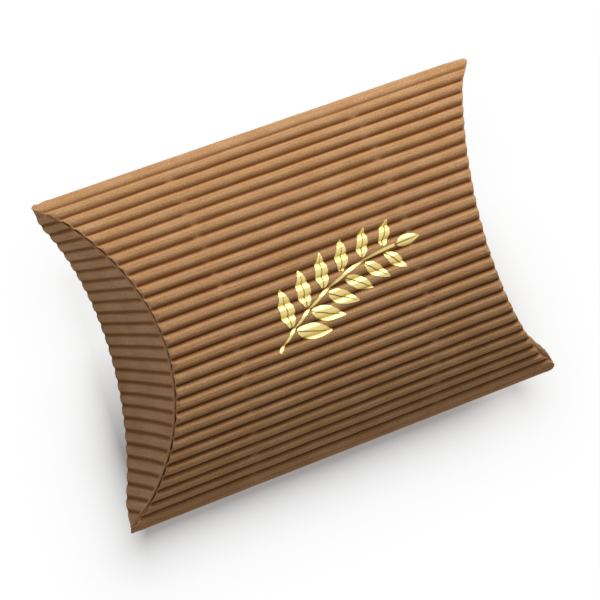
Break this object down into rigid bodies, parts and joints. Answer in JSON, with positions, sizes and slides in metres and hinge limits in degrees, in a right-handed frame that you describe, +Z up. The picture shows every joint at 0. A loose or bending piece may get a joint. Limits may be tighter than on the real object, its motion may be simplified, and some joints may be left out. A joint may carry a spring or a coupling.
{
  "type": "pillow box",
  "caption": "Fluted kraft pillow box for a small gift, with curved creases and two tucked flaps at each end.",
  "frame": {"origin": "middle of the box's footprint, on the flats of the lowest flute crests", "axes": "+X along the flutes to the right end, +Y across towards the glued seam, +Z up through the front panel"},
  "size_m": [0.125, 0.0852, 0.0367],
  "materials": {
    "kraft_flutes": "matt uncoated kraft",
    "kraft_liner": "matt uncoated kraft",
    "crushed_board": "matt, pressed flat",
    "paper_glue": "dried white glue"
  },
  "bodies": {
    "shell": {"front_panel_liner": "kraft_liner", "front_panel_flutes": "kraft_flutes", "back_panel_liner": "kraft_liner", "back_panel_flutes": "kraft_flutes", "near_fold_liner": "kraft_liner", "near_fold_flutes": "crushed_board", "far_fold_liner": "kraft_liner", "far_fold_flutes": "crushed_board", "glue_tab_liner": "kraft_liner", "glue_tab_flutes": "kraft_flutes", "tab_glue": "paper_glue", "left_front_crease": "crushed_board", "right_front_crease": "crushed_board", "left_back_crease": "crushed_board", "right_back_crease": "crushed_board"},
    "left_outer_flap": {"left_outer_flap_liner": "kraft_liner", "left_outer_flap_flutes": "kraft_flutes", "left_outer_flap_crease": "crushed_board"},
    "left_inner_flap": {"left_inner_flap_liner": "kraft_liner", "left_inner_flap_flutes": "kraft_flutes", "left_inner_flap_crease": "crushed_board"},
    "right_outer_flap": {"right_outer_flap_liner": "kraft_liner", "right_outer_flap_flutes": "kraft_flutes", "right_outer_flap_crease": "crushed_board"},
    "right_inner_flap": {"right_inner_flap_liner": "kraft_liner", "right_inner_flap_flutes": "kraft_flutes", "right_inner_flap_crease": "crushed_board"}
  },
  "joints": [
    {"name": "left_outer_flap_hinge", "type": "hinge", "parent": "shell", "child": "left_outer_flap", "pos_m": [-0.04575, 0.00039, 0.03588], "axis": [0, 1, 0], "range_deg": [0, 120]},
    {"name": "left_inner_flap_hinge", "type": "hinge", "parent": "shell", "child": "left_inner_flap", "pos_m": [-0.04315, 0.00039, 0.00058], "axis": [0, -1, 0], "range_deg": [0, 80]},
    {"name": "right_outer_flap_hinge", "type": "hinge", "parent": "shell", "child": "right_outer_flap", "pos_m": [0.04575, 0.00039, 0.03588], "axis": [0, -1, 0], "range_deg": [0, 120]},
    {"name": "right_inner_flap_hinge", "type": "hinge", "parent": "shell", "child": "right_inner_flap", "pos_m": [0.04315, 0.00039, 0.00058], "axis": [0, 1, 0], "range_deg": [0, 80]}
  ],
  "couplings": [
    {"joint": "left_inner_flap_hinge", "follows": "left_outer_flap_hinge", "ratio": 0.6666},
    {"joint": "right_inner_flap_hinge", "follows": "right_outer_flap_hinge", "ratio": 0.6666}
  ]
}
